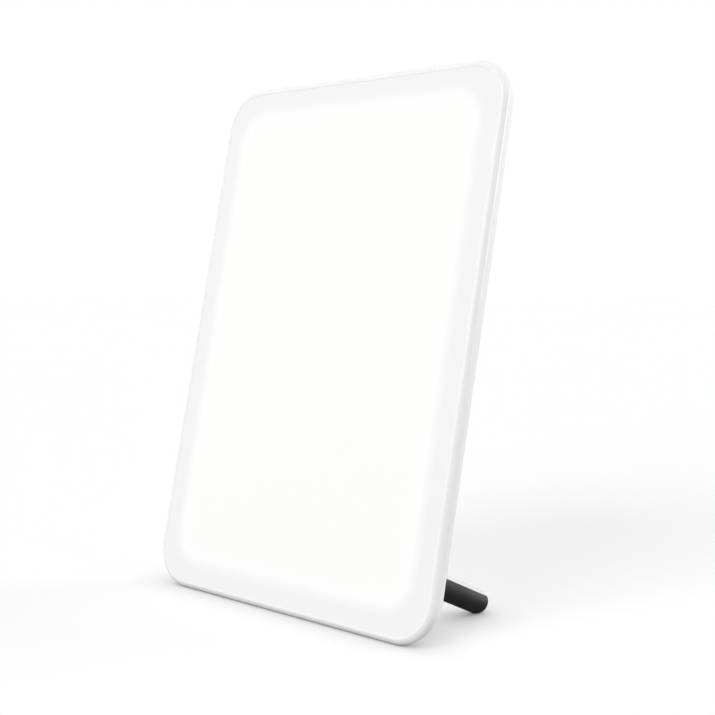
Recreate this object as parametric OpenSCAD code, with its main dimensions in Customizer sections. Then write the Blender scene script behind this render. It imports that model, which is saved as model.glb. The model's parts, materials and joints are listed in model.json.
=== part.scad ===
// Light therapy lamp: a slim edge-lit panel that leans back on two plug-in legs.
// The panel is drawn lying on its back, front upwards: X across it, Y up it from its bottom
// edge and Z the height above its flat back. stand() then lifts it to its leaning pose.
// Origin: on the ground, under the middle of the standing lamp. The front looks along -Y.

/* [Panel] */
// Width of the panel
body_w = 250; // [230:1:320]
// Height of the panel along its slope
body_h = 360; // [330:1:440]
// Thickness of the panel
body_d = 22; // [21.5:0.5:24.5]
// Corner radius of the outline
corner_r = 28; // [25:1:34]
// Angle that the panel leans back
lean = 12.7; // [10:0.1:16]

/* [Front frame] */
// Depth of the straight side wall, which is also the depth of the front frame
side_d = 4; // [3.8:0.1:4.5]
// Radius of the frame's outer front edge
front_round = 3; // [2.5:0.1:3.5]
// Radius of the frame's inner front edge
inner_round = 0.3; // [0.1:0.1:0.4]
// Width of the rim that shows round the diffuser
rim_w = 4.6; // [4:0.1:5]
// Width of the ledge that the diffuser is taped to
ledge_w = 9.4; // [8:0.1:10.4]
// Thickness of the ledge
ledge_t = 1.2; // [1:0.1:1.3]
// Thickness of the skirt that snaps into the rear cover
skirt_t = 1.4; // [1.2:0.1:1.6]
// Depth of the skirt below the seam
skirt_h = 2.4; // [2.2:0.1:2.6]
// Gap between the skirt and the cover's inner skin at the seam
skirt_gap = 0.35; // [0.3:0.05:0.4]
// Gap round the snap bead in its groove
snap_gap = 0.05; // [0.05:0.05:0.1]

/* [Diffuser and films] */
// Depth of the diffuser's face behind the rim's face
panel_recess = 0.5; // [0.3:0.1:0.6]
// Thickness of the opal diffuser panel
diffuser_t = 2; // [1.8:0.1:2.1]
// Gap round the diffuser panel
panel_gap = 0.15; // [0.1:0.05:0.3]
// Thickness of the adhesive tape under the diffuser
tape_t = 0.3; // [0.2:0.1:0.5]
// Thickness of each film behind the ledge
film_t = 0.4; // [0.2:0.1:0.5]
// Thickness of the light guide
guide_t = 3.5; // [3.5:0.1:4]
// Thickness of the reflector sheet
reflector_t = 0.4; // [0.2:0.1:0.5]

/* [Light strips] */
// Distance of the back tray's edge from the outline
tray_inset = 9; // [8:0.5:10]
// Thickness of the tray's sheet
tray_t = 0.9; // [0.8:0.1:1.2]
// Thickness of a strip's circuit board
strip_t = 1; // [0.6:0.1:1.2]
// Bare length of the tray's wall at each end of a strip
strip_end_gap = 2; // [1:0.5:4]
// Length of one LED along its strip
led_l = 5; // [3:0.5:5.5]
// Height of one LED
led_h = 3; // [2:0.1:3.1]
// Depth of one LED in front of its strip
led_t = 0.8; // [0.6:0.1:1]
// Distance from one LED to the next
led_pitch = 7; // [6:0.5:10]
// Gap from the LEDs to the light guide's edge
guide_gap = 0.3; // [0.2:0.05:0.5]
// Radius of the jumper wires and leads, insulation included
wire_r = 0.45; // [0.4:0.05:0.5]

/* [Rear cover] */
// Thickness of the rear cover
wall = 2; // [1.6:0.1:2.4]
// Radius of the tighter curve of the rear edge, next to the seam
edge_r = 14; // [12:0.5:15]
// Width of one vent slot
vent_w = 3; // [2:0.5:4]
// Length of one vent slot
vent_l = 26; // [16:1:40]
// Distance from one vent slot to the next
vent_pitch = 9; // [7:0.5:12]
// Slots in each row
vent_count = 9; // [5:2:11]
// Height up the panel of the lower row of vents
vent_low_y = 125; // [115:1:140]
// Distance of the upper row of vents from the panel's top edge
vent_top_gap = 80; // [60:1:90]

/* [Legs and sockets] */
// Distance of the sockets from the panel's centre line
socket_x = 93; // [85:0.5:96.5]
// Distance of the sockets from the nearer end of the panel
socket_y = 39.9; // [36:0.1:44]
// Angle that a leg drops below square to the back
droop = 12.2; // [10:0.1:15]
// Radius of a leg
leg_r = 8; // [7:0.1:8.4]
// Radius of the spigot that plugs into a socket
spigot_r = 5; // [4:0.1:5.5]
// Length of the full round collar at a leg's root
collar_l = 6; // [5:0.5:10]
// Distance of the grip's notch from the end of the leg's straight part
notch_back = 21; // [16:0.5:30]
// Width of the notch across the grip's underside
notch_w = 1.6; // [0.8:0.1:2.4]
// Depth of the notch
notch_depth = 1.2; // [0.6:0.1:1.8]
// Length of the spigot
spigot_l = 9; // [7:0.5:9]
// Radial clearance of the spigot in its socket
spigot_gap = 0.05; // [0.02:0.01:0.1]
// Width of the key on the spigot
key_w = 2; // [1.6:0.1:2]
// Height of the key above the spigot
key_h = 1; // [0.8:0.1:1.2]
// Clearance of the key in its keyway
key_gap = 0.1; // [0.05:0.05:0.2]
// Wall of the socket bush
bush_wall = 3; // [2.4:0.1:3.2]
// Width of the bush's flange beyond its barrel
flange_w = 1.2; // [1:0.1:1.5]
// Thickness of the bush's flange
flange_t = 1; // [0.8:0.1:1.2]
// Wall of the cover's boss round a bush
boss_wall = 2; // [1.5:0.1:3]
// Length of the cover's boss inside the back
boss_h = 4; // [2:0.5:5]
// Gap between the leg's root and the socket's face
root_gap = 0.05; // [0.02:0.01:0.2]

/* [Foot strips] */
// Length of one foot strip under the panel
foot_l = 50; // [30:1:60]
// Distance of each foot strip's middle from the centre line
foot_x = 58; // [40:1:60]
// Angle of the rear edge's round that a foot strip takes up
foot_angle = 18; // [10:1:22]
// Depth of a foot strip's groove
foot_depth = 1; // [0.6:0.1:1.4]
// Height of a foot strip above the cover's skin
foot_proud = 0.3; // [0.2:0.1:0.5]
// Depth of the flats moulded on the strips and the grips where they meet the ground
flat_depth = 0.1; // [0.05:0.05:0.15]

/* [Screws] */
// Radius of a case screw's shank
screw_r = 1.45; // [1.2:0.05:1.5]
// Length of a case screw's shank
screw_l = 8; // [6:0.5:9]
// Radius of a case screw's head
head_r = 2.7; // [2.4:0.1:3]
// Height of a case screw's head
head_h = 1.6; // [1.2:0.1:1.8]
// Depth of a case screw's head below the back
head_sink = 0.5; // [0.3:0.1:1]
// Radius of the cover's screw bosses
screw_boss_r = 5; // [4.4:0.1:5]
// Height of the cover's screw bosses above the back
screw_boss_h = 4.5; // [4:0.1:5]
// Radius of the standoffs pressed into the tray
standoff_r = 3; // [2.6:0.1:4]
// Clearance round screws in their holes
screw_gap = 0.1; // [0.05:0.05:0.3]
// Distance of the side screws from the centre line
side_screw_x = 96; // [90:1:96]
// Distance of the side screws above and below the panel's middle
side_screw_y = 70; // [50:1:90]
// Distance of the end screws from the panel's ends
end_screw_y = 30; // [29:1:34]

/* [Driver board] */
// Width of the board
board_w = 72; // [70:1:78]
// Height of the board
board_h = 44; // [42:1:48]
// Thickness of the board
board_t = 1.6; // [1:0.1:1.6]
// Distance of the board's middle left of the centre line
board_x = -14; // [-16:1:-12]
// Height up the panel of the board's middle
board_y = 66; // [64:1:72]
// Height of the board's standoffs
board_lift = 2; // [1.5:0.1:2.5]
// Distance of the board's screws from its edges
board_screw_inset = 4; // [3.5:0.5:6]
// Radius of a board screw's shank
board_screw_r = 1.1; // [1:0.05:1.25]
// Radius of a board screw's head
board_head_r = 2; // [1.8:0.1:2.4]
// Height of a board screw's head
board_head_h = 1.2; // [1:0.1:1.6]
// Radius of the coil
coil_r = 6; // [5:0.1:6.5]
// Height of the coil
coil_h = 4.6; // [3.5:0.1:5]
// Radius of a capacitor
cap_r = 4; // [3:0.1:4.5]
// Height of a capacitor
cap_h = 5.2; // [4:0.1:5.6]

/* [Button] */
// Radius of the power button
button_r = 7; // [5:0.5:8]
// Height of the button above the back
button_proud = 0.8; // [0.4:0.1:1.4]
// Clearance round the button
button_gap = 0.3; // [0.2:0.05:0.5]
// Width of the lip that keeps the button in
button_lip = 1.5; // [1:0.1:2]
// Thickness of that lip
button_lip_t = 1; // [0.8:0.1:1.2]
// Travel of the button
button_travel = 0.5; // [0.3:0.1:0.6]
// Side of the switch under the button
switch_w = 6; // [6:0.5:8]
// Height of the switch above the board
switch_h = 3.4; // [3:0.1:3.5]
// Radius of the switch's plunger
plunger_r = 1.75; // [1.5:0.05:2]
// Height of the plunger above the switch
plunger_h = 0.9; // [0.7:0.1:1]

/* [Power inlet] */
// Distance of the inlet right of the centre line
jack_x = 36; // [34:1:44]
// Radius of the inlet's housing
jack_r = 5.5; // [5:0.1:6]
// Width of the inlet's flange beyond its housing
jack_flange_w = 1; // [0.8:0.1:1.5]
// Thickness of that flange
jack_flange_t = 0.8; // [0.6:0.1:1]
// Radius of the cavity, for a 5.5 mm plug
jack_bore_r = 2.85; // [2.8:0.05:3.1]
// Depth of the cavity
jack_depth = 9.4; // [9:0.1:9.8]
// Thickness of the cavity's closed end
jack_end_t = 1.2; // [1:0.1:1.3]
// Radius of the centre pin
jack_pin_r = 1.05; // [0.95:0.05:1.25]
// Depth of the pin's tip below the mouth
jack_pin_sink = 1.2; // [0.5:0.1:2]

/* [Hidden] */
$fn = 96;

// Heights above the back, from the front down
panel_top = body_d - panel_recess;
panel_low = panel_top - diffuser_t;
ledge_top = panel_low - tape_t;
ledge_low = ledge_top - ledge_t;
uv_low = ledge_low - film_t;
film_low = uv_low - film_t;
guide_low = film_low - guide_t;
reflector_low = guide_low - reflector_t;
tray_low = reflector_low - tray_t;
seam_z = body_d - side_d;

// The rear edge: a tighter curve from the seam, then a wider one that runs out into the flat back.
// They meet where the skin faces this way, as [outwards, to the back]
meet = [0.8, 0.6];
back_r = (seam_z - edge_r * meet[1]) / (1 - meet[1]);
flat_inset = edge_r * (1 - meet[0]) + back_r * meet[0];
skirt_in = wall + skirt_gap;
bead_bite = 0.1;
bead_h = 0.6;
bead_z = seam_z - 1.6;

// Distances from the outline to the parts along the tray's wall
strip_back = tray_inset + tray_t;
strip_face = strip_back + strip_t;
led_face = strip_face + led_t;
guide_inset = led_face + guide_gap;
strip_low = reflector_low + 0.5;
strip_top = film_low - 0.3;
strip_mid = (strip_low + strip_top) / 2;
wire_inset = strip_face + wire_r + 0.05;
wire_lap = 6;
lead_pass = 1;

// How the panel stands: the flats of the foot strips and of the legs' grips are at height 0
stand_z = edge_r + foot_proud - flat_depth - edge_r * cos(lean) - seam_z * sin(lean);
leg_l = (socket_y * cos(lean) + stand_z - leg_r + flat_depth) / sin(lean + droop);
front_y = front_round * (sin(lean) + cos(lean) - 1);
top_y = (body_h - flat_inset) * sin(lean) + (body_d - back_r) * cos(lean) + back_r;
leg_y = socket_y * sin(lean) + body_d * cos(lean) + leg_l * cos(lean + droop) + leg_r;
mid_y = (front_y + max(top_y, leg_y)) / 2;
ground = 600;

// A leg's hard core, inside its grip, and the height above its axis of the bare cap on its top
core_r = 0.65 * leg_r;
cap_from = 0.6 * leg_r;
grip_gap = 0.03;

// Sockets
bush_r = spigot_r + bush_wall;
bush_gap = 0.1;
socket_end_gap = 0.4;
socket_end_t = 1;
sockets = [
    [-socket_x, socket_y], [socket_x, socket_y],
    [-socket_x, body_h - socket_y], [socket_x, body_h - socket_y]
];

// Case screws and board screws, as [across, up]
case_screw_places = concat(
    [for (x = [-1, 1], y = [-1, 1]) [x * side_screw_x, body_h / 2 + y * side_screw_y]],
    [[0, end_screw_y], [0, body_h - end_screw_y]]
);
board_screw_places = [
    for (x = [-1, 1], y = [-1, 1])
        [board_x + x * (board_w / 2 - board_screw_inset), board_y + y * (board_h / 2 - board_screw_inset)]
];

// Driver board and what stands on it
board_top = tray_low - board_lift;
board_low = board_top - board_t;
button_x = 0;
switch_low = board_low - switch_h;
plunger_low = switch_low - plunger_h;
lip_low = wall + button_gap;
jack_y = board_y;
jack_tail_r = jack_pin_r - 0.25;
jack_tab_z = jack_depth + jack_end_t + 0.1;
jack_tab_t = 0.4;
jack_tab_l = 3;
plug = [6, 4.5, 3];
coil_place = [board_x - 20, board_y + 10];
coil_rim = 0.8;
plug_in = [board_x + (board_w - plug[0]) / 2, board_y + 9];
plug_out = [board_x - (board_w - plug[0]) / 2, board_y];
lead_sides = 8;

// Lifts what is drawn lying on its back to the leaning pose
module stand() {
    translate([0, -mid_y + body_d * cos(lean), stand_z]) rotate([90 - lean, 0, 0]) children();
}

// Everything under the ground, to trim the rubber's flats
module below_ground() {
    translate([-ground / 2, -ground / 2, -ground]) cube(ground);
}

// Half the panel's size along and across side k: 0 right, 1 top, 2 left, 3 bottom
function half(k) = (k % 2 == 0 ? [body_w, body_h] : [body_h, body_w]) / 2;
function run(k) = half(k)[1] - corner_r;

// Turns the panel's middle so that side k lies along +X
module side(k) {
    translate([0, body_h / 2, 0]) rotate([0, 0, 90 * k]) children();
}

// A section, X inwards from the outline and Y up, carried along side k
module along_side(k) {
    side(k) translate([half(k)[0], run(k), 0]) rotate([90, 0, 0]) linear_extrude(2 * run(k))
        mirror([1, 0]) children();
}

// The same section carried round the corner after side k
module round_corner(k) {
    side(k) translate([half(k)[0] - corner_r, run(k), 0]) rotate_extrude(angle = 90)
        translate([corner_r, 0]) mirror([1, 0]) children();
}

// The same section carried all the way round
module band() {
    for (k = [0:3]) {
        along_side(k) children();
        round_corner(k) children();
    }
}

// A rectangle with round corners
module rounded(w, h, r) {
    square([w - 2 * r, h], center = true);
    square([w, h - 2 * r], center = true);
    for (x = [-1, 1], y = [-1, 1]) translate([x * (w / 2 - r), y * (h / 2 - r)]) circle(r);
}

// The panel's outline, drawn in by an inset
module outline(inset) {
    translate([0, body_h / 2]) rounded(body_w - 2 * inset, body_h - 2 * inset, corner_r - inset);
}

// A flat sheet of that outline
module sheet(inset, low, thick) {
    translate([0, 0, low]) linear_extrude(thick) outline(inset);
}

// A slot with round ends, upright
module slot(w, l) {
    square([w, l - w], center = true);
    for (y = [-1, 1]) translate([0, y * (l - w) / 2]) circle(w / 2);
}

// What lies outside a round of radius r at the corner of a square, to cut an edge round
module edge_waste(r) {
    difference() {
        translate([-1, 0]) square([r + 1, r + 1]);
        translate([r, 0]) circle(r);
    }
}

// A slice of a ring between two directions, each as [outwards, to the back]
module ring_slice(inner_r, outer_r, from, to) {
    intersection() {
        difference() {
            circle(outer_r);
            circle(inner_r);
        }
        polygon([[0, 0], -2 * outer_r * from, -2 * outer_r * to]);
    }
}

// A straight box that starts at the board's rear face and stands towards the back
module on_board(x, y, size) {
    translate([x - size[0] / 2, y - size[1] / 2, board_low - size[2]]) cube(size);
}

// A tube through the points of a route, with its rings square to the route
function unit(v) = v / norm(v);
function ring_dir(route, i) =
    i == 0 ? unit(route[1] - route[0])
    : i == len(route) - 1 ? unit(route[i] - route[i - 1])
    : unit(unit(route[i] - route[i - 1]) + unit(route[i + 1] - route[i]));
function side_dir(d) = unit(cross(d, abs(d[0]) < 0.9 ? [1, 0, 0] : [0, 1, 0]));
function turn(v, from, to) =
    let (axis = cross(from, to), s = norm(axis), c = from * to)
    s < 1e-6 ? v
    : let (k = axis / s) v * c + cross(k, v) * s + k * (k * v) * (1 - c);
function carried(route, i, v) =
    i == 0 ? v : turn(carried(route, i - 1, v), ring_dir(route, i - 1), ring_dir(route, i));
function ring(route, i, r, start) =
    let (d = ring_dir(route, i), u = carried(route, i, start), w = cross(d, u))
    [for (j = [0:lead_sides - 1])
        let (a = 360 * j / lead_sides) route[i] + r * (u * cos(a) + w * sin(a))];
module tube(route, r) {
    start = side_dir(ring_dir(route, 0));
    count = len(route);
    points = [for (i = [0:count - 1]) each ring(route, i, r, start)];
    skin = [
        for (i = [0:count - 2], j = [0:lead_sides - 1])
            let (a = i * lead_sides + j, b = i * lead_sides + (j + 1) % lead_sides)
            each [[a, a + lead_sides, b], [b, a + lead_sides, b + lead_sides]]
    ];
    caps = [
        [for (j = [0:lead_sides - 1]) j],
        [for (j = [1:lead_sides]) count * lead_sides - j]
    ];
    polyhedron(points, concat(skin, caps));
}

// A smooth route through a few points: each inner point is rounded off by a curve
function bend(a, b, c, t) = (1 - t) * (1 - t) * a + 2 * t * (1 - t) * b + t * t * c;
function eased(points, reach, steps) = [
    points[0],
    for (i = [1:len(points) - 2])
        let (
            back = points[i] + unit(points[i - 1] - points[i]) * reach,
            next = points[i] + unit(points[i + 1] - points[i]) * reach
        )
        each [for (s = [0:steps]) bend(back, points[i], next, s / steps)],
    points[len(points) - 1]
];

/* Front */

module frame_section() {
    difference() {
        union() {
            translate([0, seam_z]) square([rim_w, side_d]);
            translate([0, seam_z]) square([skirt_in + skirt_t, ledge_top - seam_z]);
            translate([skirt_in, ledge_low]) square([rim_w + ledge_w - skirt_in, ledge_t]);
            translate([skirt_in, seam_z - skirt_h]) square([skirt_t, skirt_h + ledge_t / 2]);
            translate([wall - bead_bite, bead_z]) square([skirt_gap + bead_bite + skirt_t / 2, bead_h]);
        }
        translate([0, body_d - front_round]) edge_waste(front_round);
        translate([rim_w, body_d - inner_round]) mirror([1, 0]) edge_waste(inner_round);
    }
}

module front_frame() {
    color("white") stand() band() frame_section();
}

module diffuser_panel() {
    color("ivory") stand() sheet(rim_w + panel_gap, panel_low, diffuser_t);
}

module panel_tape() {
    color("lightgrey") stand() difference() {
        sheet(rim_w + panel_gap, ledge_top, tape_t);
        sheet(rim_w + ledge_w, ledge_top - 1, tape_t + 2);
    }
}

/* Light engine */

module uv_filter() {
    color("aliceblue") stand() sheet(tray_inset + 0.2, uv_low, film_t);
}

module diffuser_film() {
    color("whitesmoke") stand() sheet(tray_inset + 0.2, film_low, film_t);
}

module light_guide() {
    color("lightcyan") stand() sheet(guide_inset, guide_low, guide_t);
}

module reflector_sheet() {
    color("white") stand() sheet(strip_face + 0.2, reflector_low, reflector_t);
}

// Where a lead passes through the tray's wall beside a strip's end: side k, end of sign s
module lead_notch(k, s) {
    side(k) translate([half(k)[0] - strip_back - 1, s * (run(k) + lead_pass) - 1.5, strip_mid - 1.5])
        cube([tray_t + 2, 3, 10]);
}

module back_tray() {
    color("silver") stand() difference() {
        sheet(tray_inset, tray_low, film_low - 0.1 - tray_low);
        sheet(strip_back, reflector_low, guide_t * 2);
        for (p = case_screw_places) translate([p[0], p[1], tray_low - 1]) cylinder(r = 2, h = tray_t + 2);
        for (p = board_screw_places) translate([p[0], p[1], tray_low - 1]) cylinder(r = 1.5, h = tray_t + 2);
        lead_notch(3, -1);
        lead_notch(2, 1);
    }
}

// Pressed-in standoffs, each with a spigot through the tray
module standoff(r, bore_r, spigot, low, high) {
    difference() {
        union() {
            translate([0, 0, low]) cylinder(r = r, h = high - low);
            translate([0, 0, high - 0.5]) cylinder(r = spigot, h = tray_t + 0.5);
        }
        translate([0, 0, low - 1]) cylinder(r = bore_r, h = high - low + 1.3);
    }
}

module case_standoffs() {
    color("gold") stand() for (p = case_screw_places) translate([p[0], p[1], 0])
        standoff(standoff_r, screw_r + 0.05, 2, screw_boss_h, tray_low);
}

module board_standoffs() {
    color("gold") stand() for (p = board_screw_places) translate([p[0], p[1], 0])
        standoff(2.5, board_screw_r + 0.05, 1.5, board_top, tray_low);
}

module led_strip(k) {
    length = 2 * (run(k) - strip_end_gap);
    stand() side(k) translate([half(k)[0] - strip_face, -length / 2, strip_low])
        cube([strip_t, length, strip_top - strip_low]);
}

module led_chips(k) {
    count = floor((2 * (run(k) - strip_end_gap - wire_lap)) / led_pitch);
    stand() side(k) for (i = [0:count - 1])
        translate([half(k)[0] - led_face, (i - (count - 1) / 2) * led_pitch - led_l / 2, 0])
            translate([0, 0, strip_mid - led_h / 2]) cube([led_t, led_l, led_h]);
}

// One wire round each corner but the lower left, lying on the faces of both strips' ends
module strip_jumpers() {
    color("white") stand() for (k = [0, 1, 3]) {
        round_corner(k) translate([wire_inset, strip_mid]) circle(wire_r);
        side(k) translate([half(k)[0] - wire_inset, run(k) - wire_lap, strip_mid]) rotate([-90, 0, 0])
            cylinder(r = wire_r, h = wire_lap);
        side(k) translate([half(k)[0] - corner_r - wire_lap, run(k) + corner_r - wire_inset, strip_mid])
            rotate([0, 90, 0]) cylinder(r = wire_r, h = wire_lap);
    }
}

/* Rear cover */

module cover_section() {
    difference() {
        translate([edge_r, seam_z]) ring_slice(edge_r - wall, edge_r, [1, 0], meet);
        translate([wall - bead_bite - snap_gap, bead_z - snap_gap]) square([wall, bead_h + 2 * snap_gap]);
    }
    translate([flat_inset, back_r]) ring_slice(back_r - wall, back_r, meet, [0, 1]);
    translate([flat_inset, 0]) square([corner_r - flat_inset, wall]);
}

module screw_hole() {
    translate([0, 0, -1]) cylinder(r = screw_r + screw_gap, h = screw_boss_h + 2);
    translate([0, 0, -1]) cylinder(r = head_r + screw_gap, h = head_sink + head_h + 1);
}

// Seat of a leg socket: a barrel hole and a shallow recess for the flange
module socket_hole() {
    translate([0, 0, -1]) cylinder(r = bush_r + bush_gap, h = wall + boss_h + 2);
    translate([0, 0, -1]) cylinder(r = bush_r + flange_w + bush_gap, h = flange_t + 1);
}

module jack_hole() {
    translate([0, 0, -1]) cylinder(r = jack_r + bush_gap, h = wall + boss_h + 2);
    translate([0, 0, -1]) cylinder(r = jack_r + jack_flange_w + bush_gap, h = jack_flange_t + 1);
}

// A foot strip's section, carried along the bottom edge where its curve faces the ground
module foot_bar(inner_r, outer_r, angle, length) {
    from = lean - angle / 2;
    to = lean + angle / 2;
    for (x = [-foot_x, foot_x])
        translate([x - length / 2, edge_r, seam_z]) rotate([90, 0, 90]) linear_extrude(length)
            ring_slice(inner_r, outer_r, [cos(from), sin(from)], [cos(to), sin(to)]);
}

module rear_cover() {
    color("gainsboro") stand() difference() {
        union() {
            band() cover_section();
            translate([corner_r - body_w / 2, corner_r, 0])
                cube([body_w - 2 * corner_r, body_h - 2 * corner_r, wall]);
            for (p = case_screw_places) translate([p[0], p[1], wall / 2])
                cylinder(r = screw_boss_r, h = screw_boss_h - wall / 2);
            for (p = sockets) translate([p[0], p[1], wall / 2])
                cylinder(r = bush_r + bush_gap + boss_wall, h = boss_h + wall / 2);
            translate([jack_x, jack_y, wall / 2])
                cylinder(r = jack_r + bush_gap + boss_wall, h = boss_h + wall / 2);
        }
        for (p = case_screw_places) translate([p[0], p[1], 0]) screw_hole();
        for (p = sockets) translate([p[0], p[1], 0]) socket_hole();
        translate([jack_x, jack_y, 0]) jack_hole();
        translate([button_x, board_y, -1]) cylinder(r = button_r + button_gap, h = wall + 2);
        for (y = [vent_low_y, body_h - vent_top_gap], i = [0:vent_count - 1])
            translate([(i - (vent_count - 1) / 2) * vent_pitch, y, -1])
                linear_extrude(wall + 2) slot(vent_w, vent_l);
        foot_bar(edge_r - foot_depth, edge_r + 1, foot_angle, foot_l);
    }
}

module foot_strips() {
    color("dimgrey") difference() {
        stand() foot_bar(edge_r - foot_depth + 0.05, edge_r + foot_proud, foot_angle - 0.4, foot_l - 0.2);
        below_ground();
    }
}

// Pan head screw with a cross recess, its head's underside at height 0 and its shank upwards
module pan_screw(shank_r, length, top_r, top_h) {
    difference() {
        union() {
            translate([0, 0, -top_h]) cylinder(r = top_r, h = top_h);
            translate([0, 0, -top_h / 2]) cylinder(r = shank_r, h = length + top_h / 2);
        }
        for (a = [0, 90]) rotate([0, 0, a]) translate([-top_r * 0.6, -top_r * 0.12, -top_h - 1])
            cube([top_r * 1.2, top_r * 0.24, top_h / 2 + 1]);
    }
}

module case_screws() {
    color("grey") stand() for (p = case_screw_places) translate([p[0], p[1], head_sink + head_h])
        pan_screw(screw_r, screw_l, head_r, head_h);
}

/* Leg sockets and legs */

// A keyway or key along the socket, at the top and at one side
module key(width, top_r, length) {
    translate([-width / 2, 0, 0]) cube([width, top_r, length]);
}

module leg_socket(i) {
    depth = spigot_l + socket_end_gap;
    color("darkslategrey") stand() translate([sockets[i][0], sockets[i][1], 0]) difference() {
        union() {
            cylinder(r = bush_r, h = depth + socket_end_t);
            cylinder(r = bush_r + flange_w, h = flange_t);
        }
        translate([0, 0, -1]) cylinder(r = spigot_r + spigot_gap, h = depth + 1);
        for (a = [0, -90]) rotate([0, 0, a]) translate([0, 0, -1])
            key(key_w + 2 * key_gap, spigot_r + key_h + key_gap, depth + 1);
    }
}

// A round bar with a domed end, from the origin along +Z
module domed_bar(r, length) {
    rotate_extrude() {
        square([r, length]);
        translate([0, length]) intersection() {
            circle(r);
            square([r, r]);
        }
    }
}

// Places children drawn along +Z on a leg's axis, from its root in the back, underside to -Y
module on_leg(s) {
    translate([s * socket_x, socket_y, 0]) rotate([-droop, 0, 0]) mirror([0, 0, 1]) children();
}

// Where the grip leaves a leg bare: a cap all along its top and a collar at its root
module bare_space(gap) {
    wide = 4 * leg_r;
    translate([-wide / 2, cap_from - gap, -leg_r]) cube([wide, wide, leg_l + wide]);
    translate([-wide / 2, -wide / 2, -leg_r]) cube([wide, wide, leg_r + collar_l + gap]);
}

module leg(s) {
    color("gainsboro") stand() {
        difference() {
            on_leg(s) {
                domed_bar(core_r, leg_l);
                intersection() {
                    translate([0, 0, -leg_r]) domed_bar(leg_r, leg_l + leg_r);
                    bare_space(0);
                }
            }
            translate([s * socket_x, socket_y, -root_gap]) cylinder(r = 3 * leg_r, h = 3 * leg_r);
        }
        translate([s * socket_x, socket_y, -leg_r / 2]) cylinder(r = spigot_r, h = spigot_l + leg_r / 2);
        translate([s * socket_x, socket_y, -root_gap]) key(key_w, spigot_r + key_h, spigot_l + root_gap);
    }
}

// The soft grip round the rest of a leg, with a notch across its underside
module leg_grip(s) {
    color("#3a3a3c") difference() {
        stand() on_leg(s) difference() {
            domed_bar(leg_r, leg_l);
            domed_bar(core_r + grip_gap, leg_l);
            bare_space(grip_gap);
            translate([-leg_r, -leg_r - 1, leg_l - notch_back - notch_w / 2])
                cube([2 * leg_r, notch_depth + 1, notch_w]);
        }
        below_ground();
    }
}

/* Driver board */

module driver_board() {
    color("green") stand() difference() {
        translate([board_x - board_w / 2, board_y - board_h / 2, board_low])
            cube([board_w, board_h, board_t]);
        for (p = board_screw_places) translate([p[0], p[1], board_low - 1])
            cylinder(r = board_screw_r + screw_gap, h = board_t + 2);
    }
}

module board_screws() {
    color("grey") stand() for (p = board_screw_places) translate([p[0], p[1], board_low])
        pan_screw(board_screw_r, board_t + board_lift - 0.2, board_head_r, board_head_h);
}

module coil_core() {
    color("dimgrey") stand() translate([coil_place[0], coil_place[1], board_low - coil_h]) {
        cylinder(r = coil_r, h = coil_rim);
        cylinder(r = coil_r / 2, h = coil_h);
        translate([0, 0, coil_h - coil_rim]) cylinder(r = coil_r, h = coil_rim);
    }
}

module coil_winding() {
    low = board_low - coil_h + coil_rim;
    color("peru") stand() translate([coil_place[0], coil_place[1], low]) difference() {
        cylinder(r = coil_r - 0.6, h = coil_h - 2 * coil_rim);
        translate([0, 0, -1]) cylinder(r = coil_r / 2, h = coil_h);
    }
}

module driver_capacitors() {
    color("darkslateblue") stand() for (x = [-26, -15])
        translate([board_x + x, board_y - 13, board_low - cap_h]) cylinder(r = cap_r, h = cap_h);
}

// Controller, power transistors, current-sense resistors and diode, as [x, y, length, width, height]
module driver_chips() {
    color("black") stand() for (c = [
        [-4, 8, 6, 5, 1.6], [6, 13, 5, 4, 1.8], [-6, -14, 5, 4, 1.8], [-4, -2, 4.4, 2.6, 1.4],
        [5, -14, 3.2, 1.6, 0.6], [10, -14, 3.2, 1.6, 0.6], [25, -8, 3.2, 1.6, 0.6], [25, -13, 2, 1.2, 0.6]
    ]) on_board(board_x + c[0], board_y + c[1], [c[2], c[3], c[4]]);
}

module lead_connectors() {
    color("white") stand() for (p = [plug_in, plug_out]) on_board(p[0], p[1], plug);
}

module tact_switch() {
    color("black") stand() difference() {
        on_board(button_x, board_y, [switch_w, switch_w, switch_h]);
        translate([button_x, board_y, switch_low - 1]) cylinder(r = plunger_r + 0.05, h = 3);
    }
}

module switch_plunger() {
    color("ivory") stand() translate([button_x, board_y, plunger_low])
        cylinder(r = plunger_r, h = plunger_h + 1.2);
}

module power_button() {
    color("dimgrey") stand() translate([button_x, board_y, 0]) {
        difference() {
            translate([0, 0, -button_proud]) cylinder(r = button_r, h = button_proud + lip_low + 0.2);
            translate([0, 0, -button_proud - 16]) sphere(r = 16.4);
        }
        translate([0, 0, lip_low]) cylinder(r = button_r + button_lip, h = button_lip_t);
        translate([0, 0, lip_low]) cylinder(r = plunger_r, h = plunger_low - lip_low - 0.02);
    }
}

/* Power inlet */

module dc_jack_body() {
    color("black") stand() translate([jack_x, jack_y, 0]) difference() {
        union() {
            cylinder(r = jack_r, h = jack_depth + jack_end_t);
            cylinder(r = jack_r + jack_flange_w, h = jack_flange_t);
        }
        translate([0, 0, -1]) cylinder(r = jack_bore_r, h = jack_depth + 1);
        cylinder(r = jack_tail_r, h = jack_depth + jack_end_t + 1);
        translate([-jack_r - 1, -1.3, 2.5]) cube([jack_r + 1 - jack_bore_r + 0.6, 2.6, jack_depth]);
    }
}

module dc_jack_pin() {
    tail = jack_tab_z + jack_tab_t - jack_depth + 1;
    color("gold") stand() translate([jack_x, jack_y, 0]) {
        translate([0, 0, jack_pin_sink]) cylinder(r = jack_pin_r, h = jack_depth - jack_pin_sink);
        translate([0, 0, jack_depth - 1]) cylinder(r = jack_tail_r, h = tail);
        translate([-1, 0, jack_tab_z]) cube([2, jack_r + jack_tab_l, jack_tab_t]);
    }
}

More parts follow.
